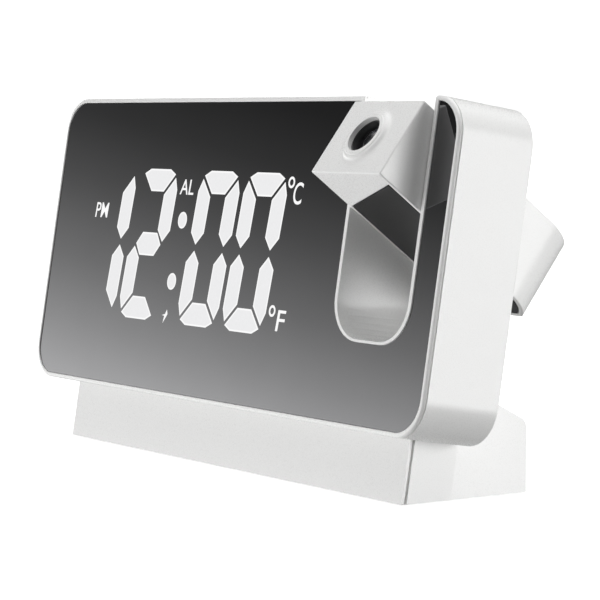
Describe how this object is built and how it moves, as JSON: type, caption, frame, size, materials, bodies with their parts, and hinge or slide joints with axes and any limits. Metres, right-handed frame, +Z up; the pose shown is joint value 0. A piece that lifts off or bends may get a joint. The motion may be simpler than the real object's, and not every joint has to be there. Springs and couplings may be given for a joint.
{
  "type": "projection alarm clock",
  "caption": "Digital alarm clock with a leaning mirror front on a low stand and a turning projector arm in an open slot at its right end.",
  "frame": {"origin": "centre of the footprint, on the surface that the clock stands on", "axes": "+X to the right seen from the front, -Y out of the front, +Z up"},
  "size_m": [0.185, 0.0581, 0.0944],
  "materials": {
    "white_shell": "satin white ABS",
    "mirror_acrylic": "dark tinted mirror acrylic",
    "foot_rubber": "matt grey",
    "screw_steel": "zinc plated",
    "reflector_white": "matt white",
    "diffuser_film": "lit, milky",
    "circuit_board": "green solder mask",
    "black_moulding": "matt black",
    "contact_brass": "bright",
    "lamp_resin": "yellow resin",
    "bush_acetal": "natural acetal",
    "lead_cover": "matt grey",
    "optic_glass": "coated"
  },
  "bodies": {
    "housing": {"front_bezel": "white_shell", "mirror_panel": "mirror_acrylic", "rear_housing": "white_shell", "stand_front": "white_shell", "stand_shell": "white_shell", "stand_plate": "white_shell", "rubber_feet": "foot_rubber", "stand_screws": "screw_steel", "plate_screws": "screw_steel", "case_screws": "screw_steel", "light_box": "reflector_white", "segment_diffusers": "diffuser_film", "display_board": "circuit_board", "display_lamps": "lamp_resin", "display_screws": "screw_steel", "board_header": "black_moulding", "main_board": "circuit_board", "board_screws": "screw_steel", "clock_chip": "black_moulding", "tact_switches": "black_moulding", "buzzer": "black_moulding", "power_jack": "black_moulding", "coin_cell": "screw_steel", "cell_contact": "contact_brass", "battery_door": "white_shell", "door_screw": "screw_steel", "bush_left": "bush_acetal", "bush_right": "bush_acetal", "friction_washers": "screw_steel", "projector_cable": "lead_cover"},
    "projector_arm": {"arm_shell": "white_shell", "arm_mirror": "mirror_acrylic", "pivot_tube_left": "screw_steel", "pivot_pin_right": "screw_steel", "optic_tube": "black_moulding", "tube_screws": "screw_steel", "condenser_lens": "optic_glass", "numeral_slide": "optic_glass", "lamp_board": "circuit_board", "lamp_chip": "lamp_resin"},
    "focus_barrel": {"lens_barrel": "black_moulding", "front_lens": "optic_glass"},
    "snooze": {"snooze_bar": "white_shell"},
    "rear_key_1": {"key_1": "white_shell"},
    "rear_key_2": {"key_2": "white_shell"},
    "rear_key_3": {"key_3": "white_shell"},
    "rear_key_4": {"key_4": "white_shell"},
    "rear_key_5": {"key_5": "white_shell"}
  },
  "joints": [
    {"name": "arm_hinge", "type": "hinge", "parent": "housing", "child": "projector_arm", "pos_m": [0.0676, -0.00341, 0.07244], "axis": [1, 0, 0], "range_deg": [-152, 28]},
    {"name": "focus_turn", "type": "hinge", "parent": "projector_arm", "child": "focus_barrel", "pos_m": [0.0676, -0.00341, 0.07244], "axis": [0, -0.7934, 0.6088], "range_deg": [-60, 60]},
    {"name": "snooze_press", "type": "slide", "parent": "housing", "child": "snooze", "axis": [0, -0.165, -0.9863], "range_m": [0, 0.0008], "stiffness_N_per_m": 900, "springref_m": -0.0004},
    {"name": "key_1_press", "type": "slide", "parent": "housing", "child": "rear_key_1", "axis": [0, -0.9863, 0.165], "range_m": [0, 0.0005], "stiffness_N_per_m": 900, "springref_m": -0.0004},
    {"name": "key_2_press", "type": "slide", "parent": "housing", "child": "rear_key_2", "axis": [0, -0.9863, 0.165], "range_m": [0, 0.0005], "stiffness_N_per_m": 900, "springref_m": -0.0004},
    {"name": "key_3_press", "type": "slide", "parent": "housing", "child": "rear_key_3", "axis": [0, -0.9863, 0.165], "range_m": [0, 0.0005], "stiffness_N_per_m": 900, "springref_m": -0.0004},
    {"name": "key_4_press", "type": "slide", "parent": "housing", "child": "rear_key_4", "axis": [0, -0.9863, 0.165], "range_m": [0, 0.0005], "stiffness_N_per_m": 900, "springref_m": -0.0004},
    {"name": "key_5_press", "type": "slide", "parent": "housing", "child": "rear_key_5", "axis": [0, -0.9863, 0.165], "range_m": [0, 0.0005], "stiffness_N_per_m": 900, "springref_m": -0.0004}
  ]
}
